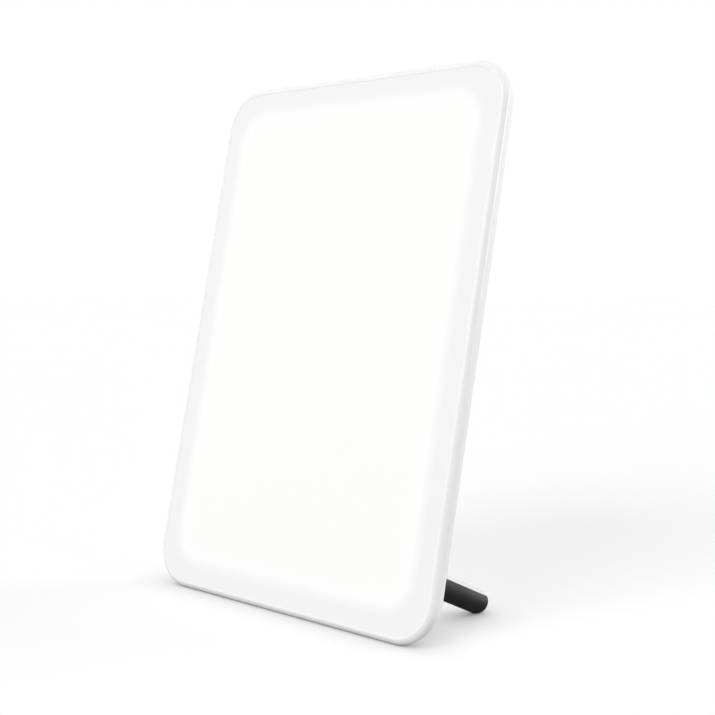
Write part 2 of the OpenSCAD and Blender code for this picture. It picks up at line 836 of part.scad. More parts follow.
// The spring that touches the plug's sleeve, in the housing's side slot, and its tab
module dc_jack_spring() {
    length = jack_r + jack_tab_l - jack_bore_r - 0.6;
    color("silver") stand() translate([jack_x, jack_y, 0]) {
        translate([-jack_bore_r - 1, -1, 3]) cube([0.4, 2, jack_tab_z + jack_tab_t - 3]);
        translate([-jack_r - jack_tab_l, -1, jack_tab_z]) cube([length, 2, jack_tab_t]);
    }
}

/* Leads */

plug_mid = board_low - plug[2] / 2;

module inlet_lead_red() {
    color("red") stand() tube(eased([
        [jack_x, jack_y + jack_r + jack_tab_l - 1, jack_tab_z - wire_r],
        [jack_x, jack_y + 11, jack_tab_z - wire_r - 1],
        [jack_x - 5, jack_y + 11, plug_mid],
        [plug_in[0] + plug[0] / 2, plug_in[1] + 1, plug_mid]
    ], 1.5, 4), wire_r);
}

module inlet_lead_black() {
    color("black") stand() tube(eased([
        [jack_x - jack_r - jack_tab_l + 1, jack_y, jack_tab_z - wire_r],
        [jack_x - jack_r - jack_tab_l + 1, jack_y + 3, jack_tab_z - wire_r - 1],
        [jack_x - jack_r - jack_tab_l, jack_y + 8, plug_mid],
        [plug_in[0] + plug[0] / 2, plug_in[1] - 1, plug_mid]
    ], 1.5, 4), wire_r);
}

// Both light leads leave the board's left plug, run round the lower left socket inside the
// cover and come up outside the tray, to the ends of the bottom and left strips
lead_run = 6.3;
lead_under = 12;
lead_end = strip_back + strip_t / 2;

module light_lead_plus() {
    end_x = -run(3);
    pass_x = end_x - lead_pass;
    color("red") stand() tube(eased([
        [plug_out[0] - plug[0] / 2, plug_out[1] - 1, plug_mid],
        [plug_out[0] - plug[0] / 2 - 6, plug_out[1] - 1, plug_mid],
        [end_x + 25, 24, plug_mid],
        [pass_x, lead_under, tray_low - 1.5],
        [pass_x, lead_run, tray_low - 1],
        [pass_x, lead_run, strip_mid],
        [pass_x, lead_end, strip_mid],
        [end_x + strip_end_gap, lead_end, strip_mid]
    ], 1, 4), wire_r);
}

module light_lead_minus() {
    end_y = body_h / 2 - run(2);
    pass_y = end_y - lead_pass;
    edge_x = -body_w / 2;
    color("black") stand() tube(eased([
        [plug_out[0] - plug[0] / 2, plug_out[1] + 1, plug_mid],
        [plug_out[0] - plug[0] / 2 - 8, plug_out[1] + 1, plug_mid],
        [1 - socket_x + bush_r, socket_y + bush_r + 11, plug_mid],
        [edge_x + lead_under + 3, socket_y + bush_r + 5, plug_mid],
        [edge_x + lead_under, pass_y, tray_low - 1.5],
        [edge_x + lead_run, pass_y, tray_low - 1],
        [edge_x + lead_run, pass_y, strip_mid],
        [edge_x + lead_end, pass_y, strip_mid],
        [edge_x + lead_end, end_y + strip_end_gap, strip_mid]
    ], 1, 4), wire_r);
}

front_frame();
diffuser_panel();
panel_tape();
uv_filter();
diffuser_film();
light_guide();
reflector_sheet();
back_tray();
case_standoffs();
board_standoffs();
led_strip(0);  // led_strip_right
led_strip(1);  // led_strip_top
led_strip(2);  // led_strip_left
led_strip(3);  // led_strip_bottom
led_chips(0);  // led_chips_right
led_chips(1);  // led_chips_top
led_chips(2);  // led_chips_left
led_chips(3);  // led_chips_bottom
strip_jumpers();
rear_cover();
foot_strips();
case_screws();
leg_socket(0);  // leg_socket_lower_left
leg_socket(1);  // leg_socket_lower_right
leg_socket(2);  // leg_socket_upper_left
leg_socket(3);  // leg_socket_upper_right
driver_board();
board_screws();
coil_core();
coil_winding();
driver_capacitors();
driver_chips();
lead_connectors();
tact_switch();
switch_plunger();
power_button();
dc_jack_body();
dc_jack_pin();
dc_jack_spring();
inlet_lead_red();
inlet_lead_black();
light_lead_plus();
light_lead_minus();
leg(-1);  // leg_left
leg(1);  // leg_right
leg_grip(-1);  // leg_grip_left
leg_grip(1);  // leg_grip_right
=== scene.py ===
"""Light therapy lamp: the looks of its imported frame, laid out as an add-on and run as a script.

Lengths in the modelling code are millimetres in the panel's own frame: X across the panel, Y up it
from its bottom edge and Z the height above its flat back. stand_up() lifts a mesh to the lamp's
leaning pose and brings it to metres.
"""

import json
import math

import bmesh
import bpy
from mathutils import Matrix, Vector


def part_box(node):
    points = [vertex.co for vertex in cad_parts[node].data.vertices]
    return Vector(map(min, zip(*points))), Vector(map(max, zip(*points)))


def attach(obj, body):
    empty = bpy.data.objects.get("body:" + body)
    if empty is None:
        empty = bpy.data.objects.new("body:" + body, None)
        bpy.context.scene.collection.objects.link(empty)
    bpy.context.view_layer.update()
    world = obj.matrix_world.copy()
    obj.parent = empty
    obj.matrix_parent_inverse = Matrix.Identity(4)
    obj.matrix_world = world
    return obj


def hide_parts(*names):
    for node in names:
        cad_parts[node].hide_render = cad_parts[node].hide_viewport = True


bl_info = {
    "name": "Light Therapy Lamp",
    "version": (1, 0, 0),
    "blender": (4, 5, 0),
    "location": "3D View > Sidebar > Lamp",
    "description": "Builds the finished surfaces and the stage of a light therapy lamp",
    "category": "Add Mesh",
}

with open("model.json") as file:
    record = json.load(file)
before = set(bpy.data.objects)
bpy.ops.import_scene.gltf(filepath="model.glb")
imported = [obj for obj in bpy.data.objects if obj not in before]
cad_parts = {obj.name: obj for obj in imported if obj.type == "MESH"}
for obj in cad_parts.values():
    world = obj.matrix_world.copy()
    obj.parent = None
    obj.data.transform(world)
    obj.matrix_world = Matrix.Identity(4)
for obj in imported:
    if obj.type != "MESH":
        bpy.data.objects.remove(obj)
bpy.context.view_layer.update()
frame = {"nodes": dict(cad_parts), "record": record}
nodes = frame["nodes"]
finishes = {part["node"]: part["material_slot"] for part in frame["record"]["subparts"]}
frame_low, frame_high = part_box("front_frame")

# Millimetres in a metre
MM = 1000
# Edges sharper than these angles, in degrees, stay sharp in the shading and are eased in a CAD copy
CREASE, SHARP = 30, 35

# The studio: where the camera stands and how it is turned, in degrees, and where the lights come from
CAMERA_PLACE = (0.55603, -0.58085, 0.22500)
CAMERA_TURN = (85.659, 0, 42.377)
KEY_FROM = (-0.03, -1.0, 0.62)
BACK_FROM = (0.6, 0.8, 0.17)
LIGHT_SPREAD = 40

# The eased edges at the seam between the front frame and the rear cover, and the cover's wall
SEAM_EASE, WALL = 0.12, 2


# ---------------------------------------------------------------- settings


class LampSizes(bpy.types.PropertyGroup):
    """Sizes of the panel, in its own frame"""

    width: bpy.props.FloatProperty(
        name="Width", description="Width of the panel", default=frame_high.x - frame_low.x, unit="LENGTH"
    )
    height: bpy.props.FloatProperty(
        name="Height", description="Height of the panel along its slope", default=0.36, unit="LENGTH"
    )
    depth: bpy.props.FloatProperty(
        name="Depth", description="Thickness of the panel", default=0.022, unit="LENGTH"
    )
    corner: bpy.props.FloatProperty(
        name="Corner", description="Corner radius of the outline", default=0.028, unit="LENGTH"
    )
    lean: bpy.props.FloatProperty(
        name="Lean", description="Angle that the panel leans back",
        default=math.radians(12.7), subtype="ANGLE",
    )
    middle: bpy.props.FloatProperty(
        name="Middle", description="Depth of the lamp's middle behind the panel's lower front edge",
        default=0.04914925, unit="LENGTH",
    )
    sink: bpy.props.FloatProperty(
        name="Sink", description="Depth of the panel's lower front edge under the ground line",
        default=0.00341472, unit="LENGTH",
    )
    rim: bpy.props.FloatProperty(
        name="Rim", description="Width of the rim round the diffuser", default=0.0046, unit="LENGTH"
    )
    recess: bpy.props.FloatProperty(
        name="Recess", description="Depth of the diffuser behind the rim", default=0.00015, unit="LENGTH"
    )
    seam: bpy.props.FloatProperty(
        name="Seam", description="Height of the seam above the panel's back", default=0.018, unit="LENGTH"
    )


class LampColours(bpy.types.PropertyGroup):
    """Colours of the pieces that show"""

    frame_white: bpy.props.FloatVectorProperty(
        name="Frame", description="Front frame", default=(0.965, 0.965, 0.96), subtype="COLOR"
    )
    cover_white: bpy.props.FloatVectorProperty(
        name="Cover", description="Rear cover", default=(0.9, 0.9, 0.895), subtype="COLOR"
    )
    opal: bpy.props.FloatVectorProperty(
        name="Diffuser", description="Opal diffuser, unlit", default=(0.3, 0.3, 0.3), subtype="COLOR"
    )
    glow: bpy.props.FloatVectorProperty(
        name="Glow", description="Light of the diffuser's middle", default=(0.985, 1.0, 0.93), subtype="COLOR"
    )
    glow_edge: bpy.props.FloatVectorProperty(
        name="Edge glow", description="Light of the diffuser's border",
        default=(1.0, 1.0, 1.0), subtype="COLOR",
    )
    glow_middle: bpy.props.FloatProperty(
        name="Middle brightness", description="Strength of the glow in the middle", default=0.665, min=0
    )
    glow_border: bpy.props.FloatProperty(
        name="Border brightness", description="Strength of the glow along the border", default=0.59, min=0
    )
    leg_white: bpy.props.FloatVectorProperty(
        name="Leg", description="Hard white core of a leg", default=(0.86, 0.86, 0.86), subtype="COLOR"
    )
    grip_grey: bpy.props.FloatVectorProperty(
        name="Grip", description="Soft dark grip of a leg", default=(0.012, 0.012, 0.013), subtype="COLOR"
    )
    socket_grey: bpy.props.FloatVectorProperty(
        name="Sockets", description="Leg sockets", default=(0.06, 0.06, 0.064), subtype="COLOR"
    )
    button_grey: bpy.props.FloatVectorProperty(
        name="Button", description="Power button", default=(0.16, 0.165, 0.175), subtype="COLOR"
    )


class LampStage(bpy.types.PropertyGroup):
    """Studio light and camera"""

    sky: bpy.props.FloatProperty(
        name="Sky", description="Strength of the white surroundings", default=0.5, min=0
    )
    key: bpy.props.FloatProperty(
        name="Key light", description="Share of light from the front", default=0.5, min=0
    )
    back: bpy.props.FloatProperty(
        name="Back light", description="Share of light from the right rear", default=0.66, min=0
    )
    floor_white: bpy.props.FloatProperty(
        name="Floor", description="Share of light that the floor returns", default=0.5, min=0, max=1
    )
    floor_lift: bpy.props.FloatProperty(
        name="Floor lift", description="Brightness that the camera sees added to the floor",
        default=0.555, min=0,
    )
    lens: bpy.props.FloatProperty(
        name="Lens", description="Focal length of the camera in millimetres", default=60.89, min=1
    )


# ---------------------------------------------------------------- modelling


def stand_up(bm):
    """Lifts a mesh from the panel's own frame to the standing lamp, in metres."""
    sizes = bpy.context.scene.lamp_sizes
    lift = Matrix.Rotation(math.radians(90) - sizes.lean, 4, "X")
    place = Matrix.Translation((0, sizes.depth * math.cos(sizes.lean) - sizes.middle, -sizes.sink))
    bmesh.ops.transform(bm, matrix=place @ lift @ Matrix.Scale(1 / MM, 4), verts=bm.verts)


def make_piece(bm, name, finish, body, stands_for):
    """Turns a mesh into a finished piece that rides on its body and replaces its CAD nodes."""
    bmesh.ops.recalc_face_normals(bm, faces=bm.faces)
    mesh = bpy.data.meshes.new(name)
    bm.to_mesh(mesh)
    bm.free()
    mesh.shade_smooth()
    mesh.set_sharp_from_angle(angle=math.radians(CREASE))
    mesh.materials.append(material_of(finish))
    piece = bpy.data.objects.new(name, mesh)
    bpy.context.scene.collection.objects.link(piece)
    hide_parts(*stands_for)
    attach(piece, body)


def picked(geometry, kind):
    """The vertices, edges or faces in what an operator gives back."""
    return [part for part in geometry if isinstance(part, kind)]


def draw_section(bm, start, strokes):
    """Draws a path in the plane of a section, X inwards from the outline and Z the height.

    A stroke is a point to run straight to, or (centre, degrees, steps) to turn round a centre."""
    point = bm.verts.new((start[0], 0, start[1]))
    for stroke in strokes:
        if len(stroke) == 2:
            corner = bm.verts.new((stroke[0], 0, stroke[1]))
            bm.edges.new((point, corner))
            point = corner
        else:
            centre, degrees, steps = stroke
            turned = bmesh.ops.spin(
                bm, geom=[point], cent=(centre[0], 0, centre[1]), axis=(0, 1, 0),
                angle=math.radians(degrees), steps=steps, use_duplicate=False,
            )
            point = picked(turned["geom_last"], bmesh.types.BMVert)[0]


def carry_round(bm, width, height, corner, steps=20):
    """Carries the section along the four sides and round the four corners of the outline."""
    bmesh.ops.remove_doubles(bm, verts=bm.verts, dist=1e-5)
    mirror = Matrix.Translation((width / 2, corner, 0)) @ Matrix.Diagonal((-1, 1, 1, 1))
    bmesh.ops.transform(bm, matrix=mirror, verts=bm.verts)
    edges = list(bm.edges)
    middle = Vector((0, height / 2, 0))
    for k in range(4):
        turn = Matrix.Rotation(math.radians(90 * k), 3, "Z")
        across, along = (width, height) if k % 2 == 0 else (height, width)
        made = bmesh.ops.extrude_edge_only(bm, edges=edges)["geom"]
        ends, edges = picked(made, bmesh.types.BMVert), picked(made, bmesh.types.BMEdge)
        bmesh.ops.translate(bm, vec=turn @ Vector((0, along - 2 * corner, 0)), verts=ends)
        centre = middle + turn @ Vector((across / 2 - corner, along / 2 - corner, 0))
        made = bmesh.ops.spin(
            bm, geom=ends + edges, cent=centre, axis=(0, 0, 1), angle=math.radians(90),
            steps=steps, use_duplicate=False,
        )["geom_last"]
        edges = picked(made, bmesh.types.BMEdge)
    bmesh.ops.remove_doubles(bm, verts=bm.verts, dist=1e-3)


def lay_sheet(bm, width, height, corner, low):
    """A face with round corners, laid on the panel's middle."""
    made = bmesh.ops.create_grid(bm, x_segments=1, y_segments=1, size=0.5)["verts"]
    shape = Matrix.Translation((0, height / 2, low)) @ Matrix.Diagonal((width, height, 1, 1))
    bmesh.ops.transform(bm, matrix=shape, verts=made)
    bmesh.ops.bevel(
        bm, geom=made, offset=corner, segments=24, profile=0.5, affect="VERTICES", material=-1
    )
    return bm.faces[:][-1]


def hole_ring(bm, hole, grow, height):
    """The rim of a round or long hole, grown by a margin, at a height."""
    x, y, radius, reach = hole
    segments = 48 if radius > 4 else 32
    half_step = Matrix.Rotation(math.pi / segments, 4, "Z")
    made = bmesh.ops.create_circle(
        bm, cap_ends=False, radius=radius + grow, segments=segments,
        matrix=Matrix.Translation((x, y, height)) @ half_step,
    )["verts"]
    if reach:
        bmesh.ops.translate(bm, vec=(0, reach, 0), verts=[v for v in made if v.co.y > y])
        bmesh.ops.translate(bm, vec=(0, -reach, 0), verts=[v for v in made if v.co.y < y])
    return list({edge for vert in made for edge in vert.link_edges})


def line_hole(bm, hole, rings):
    """Walls a hole through its rings, each (margin, height). Gives its first and last rims."""
    rims = [hole_ring(bm, hole, grow, height) for grow, height in rings]
    for one, other in zip(rims, rims[1:]):
        bmesh.ops.bridge_loops(bm, edges=one + other)
    return rims[0], rims[-1]


def eased_copy(node, ease, segments=2):
    """A merged copy of a CAD node whose sharp edges are rounded a little, in millimetres."""
    bm = bmesh.new()
    bm.from_mesh(nodes[node].data)
    bmesh.ops.scale(bm, vec=(MM, MM, MM), verts=bm.verts)
    bmesh.ops.remove_doubles(bm, verts=bm.verts, dist=5e-4)
    bmesh.ops.dissolve_limit(bm, angle_limit=math.radians(0.4), verts=bm.verts, edges=bm.edges)
    sharp = [e for e in bm.edges if e.is_manifold and e.calc_face_angle(0) > math.radians(SHARP)]
    bmesh.ops.bevel(
        bm, geom=sharp, offset=ease, segments=segments, profile=0.5, affect="EDGES", clamp_overlap=True,
        material=-1,
    )
    bmesh.ops.scale(bm, vec=(1 / MM,) * 3, verts=bm.verts)
    return bm


# ---------------------------------------------------------------- materials


def add_node(tree, kind, values=None, **settings):
    """Adds a node, with its settings and the values or links of its inputs."""
    made = tree.nodes.new(kind)
    for setting, value in settings.items():
        setattr(made, setting, value)
    for socket, value in (values or {}).items():
        if isinstance(value, bpy.types.NodeSocket):
            tree.links.new(value, made.inputs[socket])
        else:
            made.inputs[socket].default_value = value
    return made


def maths(tree, operation, *values):
    """The result of a Math node."""
    return add_node(tree, "ShaderNodeMath", dict(enumerate(values)), operation=operation).outputs[0]


def found(tree, kind):
    """The first node of a kind in a tree."""
    return next(node for node in tree.nodes if node.bl_idname == kind)


def new_material(name, shader):
    """A material, its node tree and its shader with the values given for its sockets."""
    made = bpy.data.materials.new(name)
    made.use_nodes = True
    surface = made.node_tree.nodes["Principled BSDF"]
    for socket, value in shader.items():
        surface.inputs[socket.replace("_", " ")].default_value = value
    return made, made.node_tree, surface


def new_group(name, inputs, outputs):
    """A node group with named sockets, as (tree, inputs, outputs node)."""
    tree = bpy.data.node_groups.new(name, "ShaderNodeTree")
    for socket, kind, value in inputs:
        made = tree.interface.new_socket(name=socket, in_out="INPUT", socket_type="NodeSocket" + kind)
        if value is not None:
            made.default_value = value
    for socket, kind in outputs:
        tree.interface.new_socket(name=socket, in_out="OUTPUT", socket_type="NodeSocket" + kind)
    return tree, tree.nodes.new("NodeGroupInput").outputs, tree.nodes.new("NodeGroupOutput").inputs


def grain_group():
    """Fine moulded grain: a height for a bump, and a slow mottle for tone and gloss."""
    name = "Moulded Grain"
    if name in bpy.data.node_groups:
        return bpy.data.node_groups[name]
    tree, given, out = new_group(
        name,
        [("Position", "Vector", None), ("Fineness", "Float", 2200.0), ("Mottle", "Float", 18.0)],
        [("Height", "Float"), ("Mottle", "Float"), ("Speck", "Float")],
    )
    fine = add_node(tree, "ShaderNodeTexNoise", {
        "Vector": given["Position"], "Scale": given["Fineness"], "Detail": 3.0, "Roughness": 0.55})
    slow = add_node(tree, "ShaderNodeTexNoise", {
        "Vector": given["Position"], "Scale": given["Mottle"], "Detail": 4.0, "Roughness": 0.6,
        "Distortion": 0.4})
    spread = add_node(tree, "ShaderNodeMapRange", {
        "Value": slow.outputs["Fac"], "From Min": 0.3, "From Max": 0.7})
    speck = add_node(tree, "ShaderNodeMapRange", {
        "Value": fine.outputs["Fac"], "From Min": 0.62, "From Max": 0.72})
    tree.links.new(fine.outputs["Fac"], out["Height"])
    tree.links.new(spread.outputs["Result"], out["Mottle"])
    tree.links.new(speck.outputs["Result"], out["Speck"])
    return tree


def wear_group():
    """Rubbed edges: a mask that follows the outward edges, broken up by a noise."""
    name = "Rubbed Edges"
    if name in bpy.data.node_groups:
        return bpy.data.node_groups[name]
    tree, given, out = new_group(
        name,
        [("Position", "Vector", None), ("Patches", "Float", 160.0), ("Amount", "Float", 0.5)],
        [("Mask", "Float")],
    )
    shape = add_node(tree, "ShaderNodeNewGeometry")
    edge = add_node(tree, "ShaderNodeMapRange", {
        "Value": shape.outputs["Pointiness"], "From Min": 0.52, "From Max": 0.6})
    patches = add_node(tree, "ShaderNodeTexNoise", {
        "Vector": given["Position"], "Scale": given["Patches"], "Detail": 5.0, "Roughness": 0.65})
    broken = add_node(tree, "ShaderNodeMapRange", {
        "Value": patches.outputs["Fac"], "From Min": 0.42, "From Max": 0.62})
    both = maths(tree, "MULTIPLY", edge.outputs["Result"], broken.outputs["Result"])
    tree.links.new(maths(tree, "MULTIPLY", both, given["Amount"]), out["Mask"])
    return tree


def dust_group():
    """Fine dust that settles on faces that look up."""
    name = "Settled Dust"
    if name in bpy.data.node_groups:
        return bpy.data.node_groups[name]
    tree, given, out = new_group(
        name,
        [("Position", "Vector", None), ("Amount", "Float", 0.2)],
        [("Mask", "Float")],
    )
    shape = add_node(tree, "ShaderNodeNewGeometry")
    parts = add_node(tree, "ShaderNodeSeparateXYZ", {"Vector": shape.outputs["Normal"]})
    upward = add_node(tree, "ShaderNodeMapRange", {
        "Value": parts.outputs["Z"], "From Min": 0.3, "From Max": 1.0})
    grains = add_node(tree, "ShaderNodeTexNoise", {
        "Vector": given["Position"], "Scale": 900.0, "Detail": 2.0, "Roughness": 0.7})
    flecks = add_node(tree, "ShaderNodeMapRange", {
        "Value": grains.outputs["Fac"], "From Min": 0.48, "From Max": 0.68})
    both = maths(tree, "MULTIPLY", upward.outputs["Result"], flecks.outputs["Result"])
    tree.links.new(maths(tree, "MULTIPLY", both, given["Amount"]), out["Mask"])
    return tree


def use_group(tree, group, values):
    """Places a node group in a material."""
    return add_node(tree, "ShaderNodeGroup", values, node_tree=group).outputs


def opaque(colour):
    """A colour with its alpha."""
    return (*colour, 1.0)


def blended(tree, factor, one, other):
    """Mixes two colours by a mask."""
    first, second = (c if isinstance(c, bpy.types.NodeSocket) else opaque(c) for c in (one, other))
    mix = add_node(tree, "ShaderNodeMix", {"Factor": factor, 6: first, 7: second}, data_type="RGBA")
    return mix.outputs[2]


def shaded(colour, factor):
    """A colour made lighter or darker."""
    return [min(1.0, part * factor) for part in colour]


def moulded(name, colour, gloss=(0.35, 0.45), fineness=2200, depth=2e-5, wear=0.4, worn=None, dust=0.15,
            mottle=0.02, speck=0.0, **shader):
    """Moulded plastic, rubber or coated metal: grain, mottle, rubbed edges and dust."""
    made, tree, surface = new_material(name, shader)
    position = add_node(tree, "ShaderNodeTexCoord").outputs["Object"]
    grain = use_group(tree, grain_group(), {"Position": position, "Fineness": fineness})
    rubbed = use_group(tree, wear_group(), {"Position": position, "Amount": wear})
    dusty = use_group(tree, dust_group(), {"Position": position, "Amount": dust})
    base = blended(tree, grain["Mottle"], shaded(colour, 1 - mottle), shaded(colour, 1 + mottle))
    if speck:
        base = blended(tree, maths(tree, "MULTIPLY", grain["Speck"], speck), base, shaded(colour, 1.6))
    base = blended(tree, rubbed["Mask"], base, worn or shaded(colour, 1.12))
    base = blended(tree, dusty["Mask"], base, (0.6, 0.59, 0.57))
    tree.links.new(base, surface.inputs["Base Color"])
    rough = add_node(tree, "ShaderNodeMapRange", {
        "Value": grain["Mottle"], "To Min": gloss[0], "To Max": gloss[1]})
    raised = maths(tree, "MULTIPLY_ADD", dusty["Mask"], 0.5, rough.outputs["Result"])
    tree.links.new(raised, surface.inputs["Roughness"])
    bump = add_node(tree, "ShaderNodeBump", {"Strength": 0.6, "Distance": depth, "Height": grain["Height"]})
    tree.links.new(bump.outputs["Normal"], surface.inputs["Normal"])
    return made


def metal(name, colour, gloss=(0.25, 0.4), streaks=(1, 1, 12), fineness=900):
    """Bare metal with fine drawn or turned lines and a patchy shine."""
    made, tree, surface = new_material(name, {"Metallic": 1.0})
    position = add_node(tree, "ShaderNodeTexCoord").outputs["Object"]
    stretched = add_node(tree, "ShaderNodeMapping", {"Vector": position, "Scale": streaks}).outputs["Vector"]
    lines = add_node(tree, "ShaderNodeTexNoise", {
        "Vector": stretched, "Scale": fineness, "Detail": 3.0, "Roughness": 0.6})
    grain = use_group(tree, grain_group(), {"Position": position, "Fineness": fineness, "Mottle": 120.0})
    rubbed = use_group(tree, wear_group(), {"Position": position, "Amount": 0.5})
    base = blended(tree, grain["Mottle"], shaded(colour, 0.9), shaded(colour, 1.06))
    base = blended(tree, rubbed["Mask"], base, shaded(colour, 1.2))
    tree.links.new(base, surface.inputs["Base Color"])
    rough = add_node(tree, "ShaderNodeMapRange", {
        "Value": lines.outputs["Fac"], "From Min": 0.3, "From Max": 0.7,
        "To Min": gloss[0], "To Max": gloss[1]})
    tree.links.new(rough.outputs["Result"], surface.inputs["Roughness"])
    bump = add_node(tree, "ShaderNodeBump", {
        "Strength": 0.5, "Distance": 1e-5, "Height": lines.outputs["Fac"]})
    tree.links.new(bump.outputs["Normal"], surface.inputs["Normal"])
    return made


def clear(name, colour, roughness, dots=0):
    """Clear film or acrylic, with an optional printed dot pattern."""
    made, tree, surface = new_material(name, {"Transmission Weight": 0.9, "IOR": 1.49})
    position = add_node(tree, "ShaderNodeTexCoord").outputs["Object"]
    grain = use_group(tree, grain_group(), {"Position": position, "Fineness": 1200, "Mottle": 30.0})
    if dots:
        cells = add_node(tree, "ShaderNodeTexVoronoi", {"Vector": position, "Scale": dots, "Randomness": 0.0})
        dot = add_node(tree, "ShaderNodeMapRange", {
            "Value": cells.outputs["Distance"], "From Min": 0.2, "From Max": 0.25,
            "To Min": 1.0, "To Max": 0.0})
        base = blended(tree, dot.outputs["Result"], colour, (0.95, 0.95, 0.95))
    else:
        base = blended(tree, grain["Mottle"], shaded(colour, 0.98), colour)
    tree.links.new(base, surface.inputs["Base Color"])
    rough = add_node(tree, "ShaderNodeMapRange", {
        "Value": grain["Mottle"], "To Min": roughness, "To Max": roughness + 0.05})
    tree.links.new(rough.outputs["Result"], surface.inputs["Roughness"])
    bump = add_node(tree, "ShaderNodeBump", {"Strength": 0.2, "Distance": 1e-5, "Height": grain["Height"]})
    tree.links.new(bump.outputs["Normal"], surface.inputs["Normal"])
    return made


def glowing_opal(name):
    """Opal acrylic lit from behind: bright and slightly warm in the middle, dimmer along its border."""
    sizes, colours = bpy.context.scene.lamp_sizes, bpy.context.scene.lamp_colours
    made = moulded(
        name, colours.opal, gloss=(0.32, 0.38), fineness=3000, depth=4e-6, wear=0.0, dust=0.02, mottle=0.006
    )
    tree = made.node_tree
    surface = tree.nodes["Principled BSDF"]
    position = found(tree, "ShaderNodeTexCoord").outputs["Object"]
    tilt = math.radians(90) - sizes.lean
    shift = Vector((0, sizes.depth * math.cos(sizes.lean) - sizes.middle, -sizes.sink))
    middle = Matrix.Rotation(-tilt, 3, "X") @ -shift - Vector((0, sizes.height / 2, 0))
    laid = add_node(tree, "ShaderNodeMapping", {
        "Vector": position, "Location": middle, "Rotation": (-tilt, 0, 0)})
    # How far a point lies inside the outline, with the lines of equal depth rounded at the corners
    round_off = 0.04
    inner = (sizes.width / 2 - round_off, sizes.height / 2 - round_off, 1.0)
    size = add_node(tree, "ShaderNodeVectorMath", {0: laid.outputs["Vector"]}, operation="ABSOLUTE")
    past = add_node(tree, "ShaderNodeVectorMath", {0: size.outputs[0], 1: inner}, operation="SUBTRACT")
    outer = add_node(tree, "ShaderNodeVectorMath", {0: past.outputs[0], 1: (0, 0, 0)}, operation="MAXIMUM")
    length = add_node(tree, "ShaderNodeVectorMath", {0: outer.outputs[0]}, operation="LENGTH")
    parts = add_node(tree, "ShaderNodeSeparateXYZ", {"Vector": past.outputs[0]})
    deeper = maths(tree, "MAXIMUM", parts.outputs["X"], parts.outputs["Y"])
    inside = maths(tree, "MINIMUM", deeper, 0.0)
    edge = maths(tree, "ADD", length.outputs["Value"], inside)
    from_edge = maths(tree, "SUBTRACT", round_off, edge)
    # Between these depths from the outline the glow rises to the middle's strength, and warms
    rise_from, rise_to, warm_from, warm_to = 0.013, 0.0225, 0.02, 0.04
    rise = add_node(tree, "ShaderNodeMapRange", {
        "Value": from_edge, "From Min": rise_from, "From Max": rise_to,
        "To Min": colours.glow_border, "To Max": colours.glow_middle}, interpolation_type="SMOOTHSTEP")
    share = add_node(tree, "ShaderNodeMapRange", {
        "Value": from_edge, "From Min": warm_from, "From Max": warm_to}, interpolation_type="SMOOTHSTEP")
    tint = blended(tree, share.outputs["Result"], colours.glow_edge, colours.glow)
    light = add_node(tree, "ShaderNodeVectorMath", {0: tint}, operation="SCALE")
    tree.links.new(rise.outputs["Result"], light.inputs["Scale"])
    tree.links.new(light.outputs[0], surface.inputs["Emission Color"])
    surface.inputs["Emission Strength"].default_value = 1.0
    return made


def board_green(name):
    """A circuit board: solder mask with faint copper tracks under it."""
    made = moulded(
        name, (0.012, 0.09, 0.03), gloss=(0.25, 0.35), fineness=1500, wear=0.3, dust=0.1, mottle=0.1)
    tree = made.node_tree
    surface = tree.nodes["Principled BSDF"]
    base = surface.inputs["Base Color"].links[0].from_socket
    position = found(tree, "ShaderNodeTexCoord").outputs["Object"]
    tracks = add_node(tree, "ShaderNodeTexBrick", {
        "Vector": position, "Scale": 260.0, "Color1": (0, 0, 0, 1), "Color2": (0, 0, 0, 1),
        "Mortar": (1, 1, 1, 1), "Mortar Size": 0.04, "Mortar Smooth": 0.2})
    faint = maths(tree, "MULTIPLY", tracks.outputs["Fac"], 0.5)
    tree.links.new(blended(tree, faint, base, (0.03, 0.19, 0.06)), surface.inputs["Base Color"])
    return made


def wound_copper(name):
    """Enamelled wire wound round the coil's core."""
    made = metal(name, (0.55, 0.2, 0.08), gloss=(0.2, 0.32), streaks=(1, 1, 1), fineness=600)
    tree = made.node_tree
    bump = found(tree, "ShaderNodeBump")
    position = found(tree, "ShaderNodeTexCoord").outputs["Object"]
    lean = bpy.context.scene.lamp_sizes.lean
    laid = add_node(tree, "ShaderNodeMapping", {
        "Vector": position, "Rotation": (lean - math.radians(90), 0, 0)})
    turns = add_node(tree, "ShaderNodeTexWave", {
        "Vector": laid.outputs["Vector"], "Scale": 640.0}, wave_type="BANDS", bands_direction="Z")
    bump.inputs["Distance"].default_value = 1.5e-4
    tree.links.new(turns.outputs["Fac"], bump.inputs["Height"])
    return made


